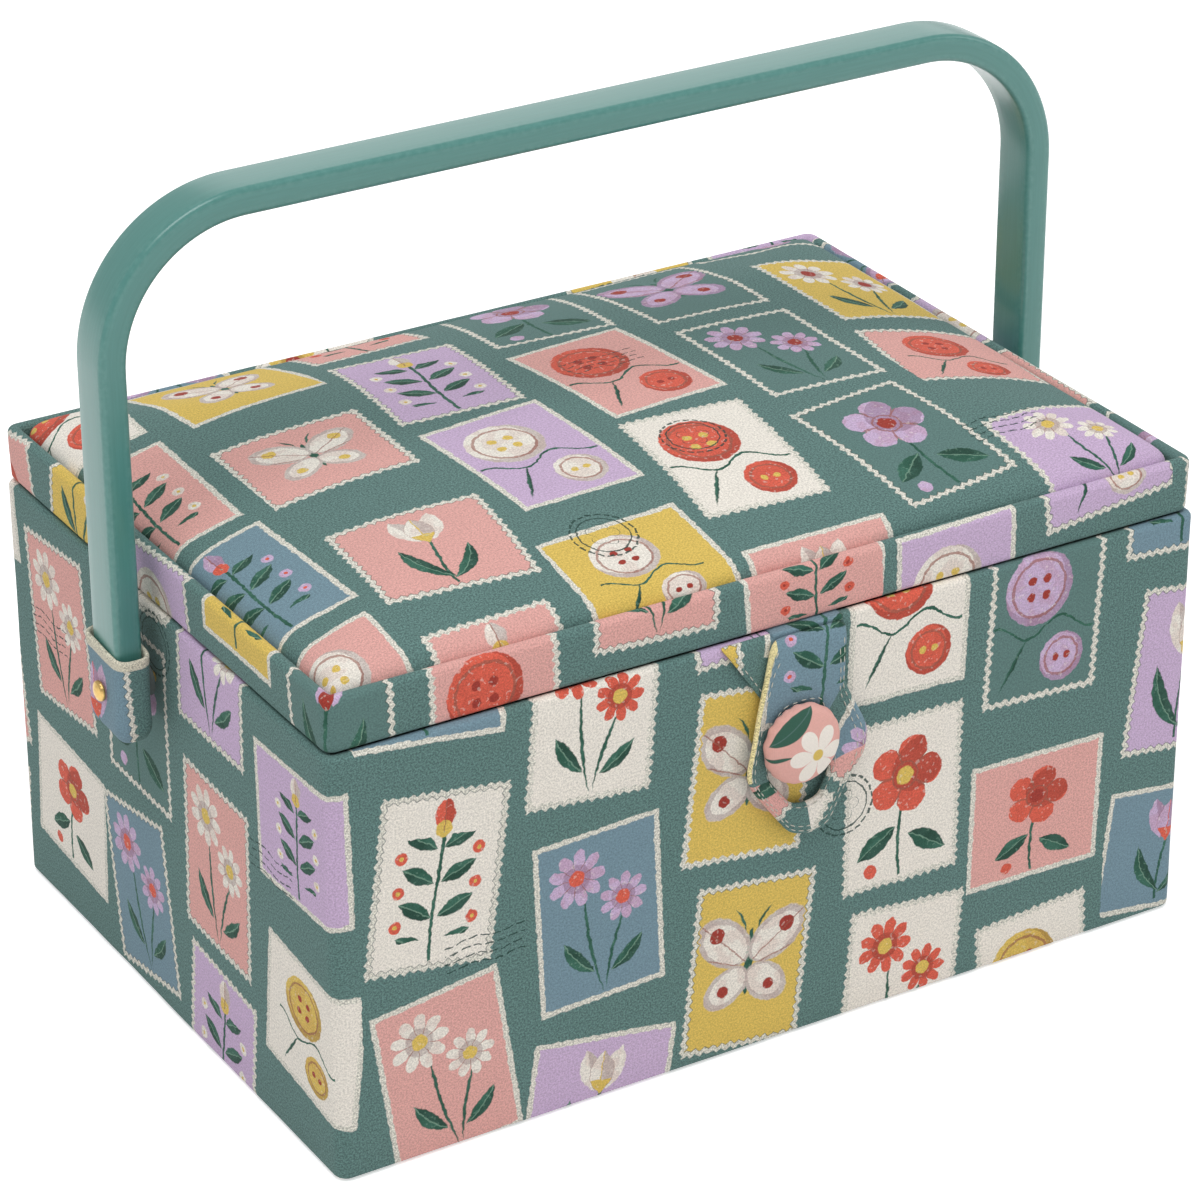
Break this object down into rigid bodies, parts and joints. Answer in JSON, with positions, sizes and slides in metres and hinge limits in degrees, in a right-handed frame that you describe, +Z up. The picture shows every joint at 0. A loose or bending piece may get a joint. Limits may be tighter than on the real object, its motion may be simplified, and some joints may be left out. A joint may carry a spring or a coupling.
{
  "type": "fabric sewing box",
  "caption": "Cloth-covered sewing box with a padded hinged lid, a folding bent handle, a loop and button closure, a lift-out compartment tray and a lined inside.",
  "frame": {"origin": "centre of the case's base, on the surface that it stands on", "axes": "+Z up, -Y to the front with the button, +X to the right as seen from the front"},
  "size_m": [0.2932, 0.1945, 0.2315],
  "materials": {
    "printed_cotton": "printed canvas-weave cotton, matte",
    "button_cotton": "plain cotton",
    "lining_cotton": "plain cotton",
    "wadding": "soft polyester wadding",
    "thread": "waxed thread",
    "elastic": "woven elastic",
    "greyboard": "raw greyboard",
    "base_paper": "dark base paper",
    "clear_plastic": "clear moulded plastic",
    "plain_plastic": "moulded washer",
    "painted_wood": "satin painted bent wood",
    "brass": "polished",
    "steel": "plain pressed steel"
  },
  "bodies": {
    "box": {"base_board": "greyboard", "front_board": "greyboard", "back_board": "greyboard", "left_board": "greyboard", "right_board": "greyboard", "body_cover": "printed_cotton", "base_sheet": "base_paper", "body_liner": "lining_cotton", "floor_pad": "lining_cotton", "hinge_cloth": "printed_cotton", "button_cloth": "button_cotton", "button_shell": "steel", "button_back": "steel", "button_shank": "thread", "button_anchor": "steel", "handle_rivets": "brass", "rivet_washers": "brass"},
    "lid": {"lid_board": "greyboard", "lid_front_strip": "greyboard", "lid_back_strip": "greyboard", "lid_left_strip": "greyboard", "lid_right_strip": "greyboard", "lid_rim_cover": "printed_cotton", "lid_pad": "wadding", "lid_top_cover": "printed_cotton", "lid_lining": "lining_cotton", "lid_pocket": "lining_cotton", "pocket_elastic": "elastic", "loop_tab": "printed_cotton"},
    "loop": {"closure_loop": "printed_cotton"},
    "handle": {"handle_bar": "painted_wood", "strap_left": "printed_cotton", "strap_right": "printed_cotton", "pivot_spacers": "plain_plastic"},
    "tray": {"tray": "clear_plastic"}
  },
  "joints": [
    {"name": "lid_hinge", "type": "hinge", "parent": "box", "child": "lid", "pos_m": [0, 0.0923, 0.1213], "axis": [-1, 0, 0], "range_deg": [0, 100], "deforming": ["hinge_cloth", "closure_loop"]},
    {"name": "loop_swing", "type": "hinge", "parent": "lid", "child": "loop", "pos_m": [0.002, -0.0936, 0.1213], "axis": [-1, 0, 0], "range_deg": [0, 110], "deforming": ["closure_loop"]},
    {"name": "handle_fold", "type": "hinge", "parent": "box", "child": "handle", "pos_m": [0, 0.003, 0.101], "axis": [-1, 0, 0], "range_deg": [0, 101]},
    {"name": "tray_lift", "type": "slide", "parent": "box", "child": "tray", "axis": [0, 0, 1], "range_m": [0, 0.0425]}
  ],
  "couplings": [
    {"joint": "handle_fold", "follows": "lid_hinge", "ratio": 1},
    {"joint": "tray_lift", "follows": "lid_hinge", "m_per_rad": 0.024064}
  ]
}
